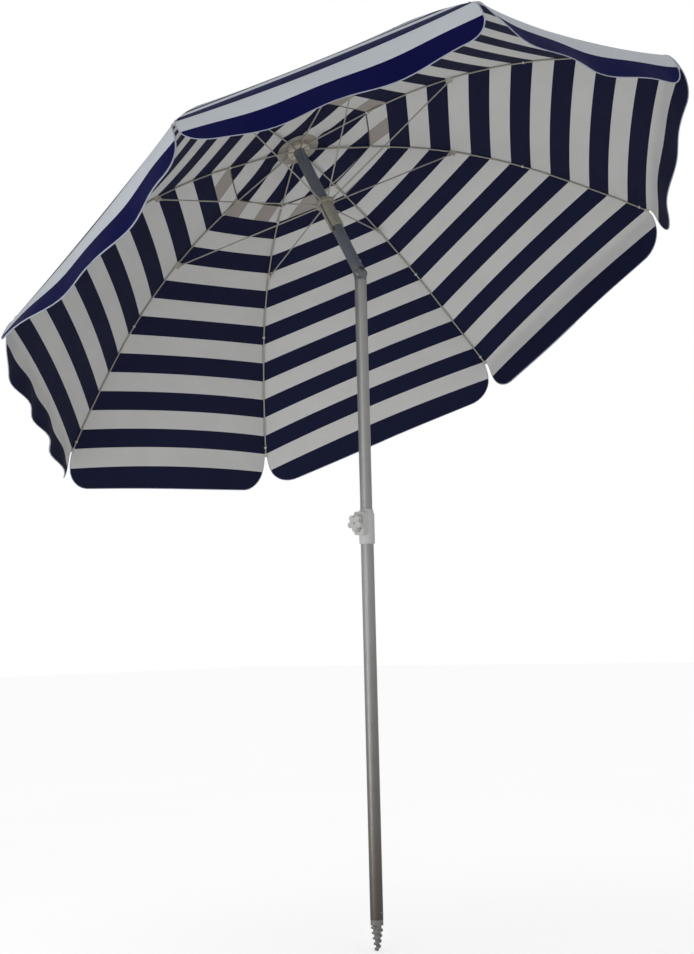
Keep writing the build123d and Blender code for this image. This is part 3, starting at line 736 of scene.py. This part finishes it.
rows = strap_rows()
points = [point for row in rows for point in row]
faces = grid_faces(len(rows), len(rows[0]))
strap_tape = woven_tape("closing_strap_tape", (0.66, 0.67, 0.66, 1), 0.0009)
strap = make_mesh("closing_strap_tape", points, faces, {}, [strap_tape], thickness=0.0012)
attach(strap, "rib_2")
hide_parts("closing_strap")
fold_with_rib(strap)

# %% [markdown]
# ## The vent cap
# Wind goes out between the panels and a cap that lies over the opening. The cap is one piece of
# cloth with straight stripes. It lies on the felt patch at the crown and on the ribs, and stands a
# little off the panels at its edge. It is split where the panels are, so that it folds with them.

# %% Cap
PATCH_EDGE = 0.058
CAP_END = 0.283
CAP_ROWS = 22
CAP_LIFT = 0.0020
CAP_RISE = 0.0085  # the edge stands this far off the panels
CAP_RISE_FROM, CAP_RISE_OVER = 0.12, 0.17
CAP_BLEND = 0.05
CAP_BOW = 0.006
CAP_SAG = 0.004
CAP_CENTRE_R = 0.016
HUB_FLAT_R = 0.031
CAP_HEIGHT = 0.0088
CAP_EDGE_HEIGHT = 0.0030


def cap_profile(r):
    """Height of the cap over the pivots' plane at radius r on a rib."""
    if r <= HUB_FLAT_R:
        return CAP_HEIGHT
    if r <= PATCH_EDGE:
        t = (r - HUB_FLAT_R) / (PATCH_EDGE - HUB_FLAT_R)
        return CAP_HEIGHT + (CAP_EDGE_HEIGHT - CAP_HEIGHT) * t
    s = (r - PIVOT_RADIUS) / math.cos(RIB_SLOPE)
    rib_height = rib_point(s)[1]
    t = (r - PATCH_EDGE) / CAP_BLEND
    on_the_rib = rib_height + CLOTH_LIFT + CAP_LIFT
    out = max(0.0, (r - CAP_RISE_FROM) / CAP_RISE_OVER) ** 1.5 * CAP_RISE
    blend = max(0.0, 1 - t)
    return on_the_rib + out + (CAP_EDGE_HEIGHT - on_the_rib) * blend * blend * (3 - 2 * blend)


def cap_point(k, w, r):
    """A point of the cap between ribs k and k + 1: w across it, at radius r on the ribs."""
    ends = [CROWN + SPOKES[n % RIBS] * r + AXIS * cap_profile(r) for n in (k, k + 1)]
    arch = 4 * w * (1 - w)
    t = max(0.0, (r - PATCH_EDGE) / (CAP_END - PATCH_EDGE))
    middle = (ends[0] + ends[1]) / 2 - CROWN
    inward = (middle - AXIS * middle.dot(AXIS)).normalized()
    bow = inward * CAP_BOW * t ** 3
    sag = AXIS * CAP_SAG * math.sin(math.pi * t)
    return ends[0].lerp(ends[1], w) - bow * arch - sag * arch


def cap_piece(name, rows, columns, materials):
    """A sheet of the cap, and the points along its outer edge."""
    points = [cap_point(*column, r) for r in rows for column in columns]
    faces = grid_faces(len(rows), len(columns))
    cap = [cap_coordinates(p) for p in points]
    piece = make_mesh(name, points, faces, {"cap": cap}, materials)
    return piece, points[-len(columns):]


CAP_COLUMNS = 8  # across half a panel
cap_across = [0.5 * n / CAP_COLUMNS for n in range(1, CAP_COLUMNS + 1)]
cap_rows = [PATCH_EDGE + (CAP_END - PATCH_EDGE) * i / CAP_ROWS for i in range(CAP_ROWS + 1)]
for k in range(RIBS):
    columns = [(k - 1, 1 - w) for w in reversed(cap_across)] + [(k, 0.0)] + [(k, w) for w in cap_across]
    piece, edge = cap_piece(f"vent_cap_{k + 1}", cap_rows, columns, [cap_outside, cap_inside])
    hem = tube(f"vent_cap_hem_{k + 1}", [edge], VENT_HEM_RADIUS, binding_tape)
    for part in (piece, hem):
        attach(part, f"rib_{k + 1}")
        fold_with_rib(part)

turns = [(k, w) for k in range(RIBS) for w in (0.0, 0.25, 0.5, 0.75)] + [(0, 0.0)]
CROWN_ROWS = 6
crown_rows = [CAP_CENTRE_R + (PATCH_EDGE - CAP_CENTRE_R) * i / CROWN_ROWS for i in range(CROWN_ROWS + 1)]
centre, _ = cap_piece("vent_cap_centre", crown_rows, turns, [cap_outside, cap_inside])
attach(centre, "upper_pole")

# %% [markdown]
# ## Floor, light and camera
# The studio is a pale floor under a soft white sky that is a little brighter on one side. Two large
# soft lights stand in front, one high and one low, and a small one near the ground lights the
# underside of the canopy. The camera stands low, looks slightly up
# and is rolled a little.

# %% Floor
bpy.ops.object.select_all(action="DESELECT")
bpy.ops.mesh.primitive_plane_add(size=60, location=(0, 0, GROUND))
floor = bpy.context.object
floor.name = "studio_floor"
floor_material, floor_tree, floor_shader = new_material("pale_studio_floor")
speckle = noise(floor_tree, object_place(floor_tree), 1.2, 2.0)
floor_tone = blend_colours(floor_tree, speckle, (0.88, 0.88, 0.88, 1), (0.92, 0.92, 0.92, 1))
floor_tree.links.new(floor_tone, floor_shader.inputs["Base Color"])
floor_shader.inputs["Roughness"].default_value = 0.9
floor_shader.inputs["Emission Color"].default_value = (1, 1, 1, 1)
lift = maths(floor_tree, "MULTIPLY", node(floor_tree, "ShaderNodeLightPath").outputs["Is Camera Ray"], 0.45)
floor_tree.links.new(lift, floor_shader.inputs["Emission Strength"])
floor.data.materials.append(floor_material)

# %% Light
LIT_SIDE = Vector((0.75, 0.66, 0.15)).normalized()

world = bpy.data.worlds.new("studio_sky")
scene.world = world
world.use_nodes = True
sky = world.node_tree
backdrop = sky.nodes["Background"]
backdrop.inputs["Color"].default_value = (1, 1, 1, 1)
facing = node(sky, "ShaderNodeVectorMath", operation="DOT_PRODUCT")
facing.inputs[1].default_value = LIT_SIDE
sky.links.new(node(sky, "ShaderNodeTexCoord").outputs["Generated"], facing.inputs[0])
softbox = node(sky, "ShaderNodeMapRange",
               inputs={"From Min": -0.8, "From Max": 0.9, "To Min": 0.46, "To Max": 0.66})
sky.links.new(facing.outputs["Value"], softbox.inputs["Value"])
seen = maths(sky, "MAXIMUM", softbox.outputs[0], node(sky, "ShaderNodeLightPath").outputs["Is Camera Ray"])
sky.links.new(seen, backdrop.inputs["Strength"])


def soft_light(name, place, target, size, power):
    """A round soft light of a given size and power that stands at place and faces target."""
    data = bpy.data.lights.new(name, "AREA")
    data.shape = "DISK"
    data.size = size
    data.energy = power
    lamp = bpy.data.objects.new(name, data)
    scene.collection.objects.link(lamp)
    lamp.location = place
    lamp.rotation_euler = (Vector(target) - Vector(place)).to_track_quat("-Z", "Y").to_euler()
    return lamp


soft_light("key_light", (-3.2, 1.0, 3.6), (0, 0, 1.5), 2.2, 9)
soft_light("fill_light", (-1.2, 4.4, 1.2), (0.2, 0, 1.4), 2.5, 18)
soft_light("low_light", (0.54, 2.1, 0.2), (0.4, 0.3, 1.5), 1.0, 10)

# %% Camera
camera_data = bpy.data.cameras.new("camera")
camera = bpy.data.objects.new("camera", camera_data)
scene.collection.objects.link(camera)
camera_data.sensor_width = 36
camera_data.sensor_fit = "AUTO"
camera_data.lens = 73.47
camera_data.clip_end = 100
camera.location = (-3.1675, 3.6156, 0.6984)
camera.rotation_euler = (math.radians(94.559), math.radians(1.421), math.radians(-138.120))
scene.camera = camera
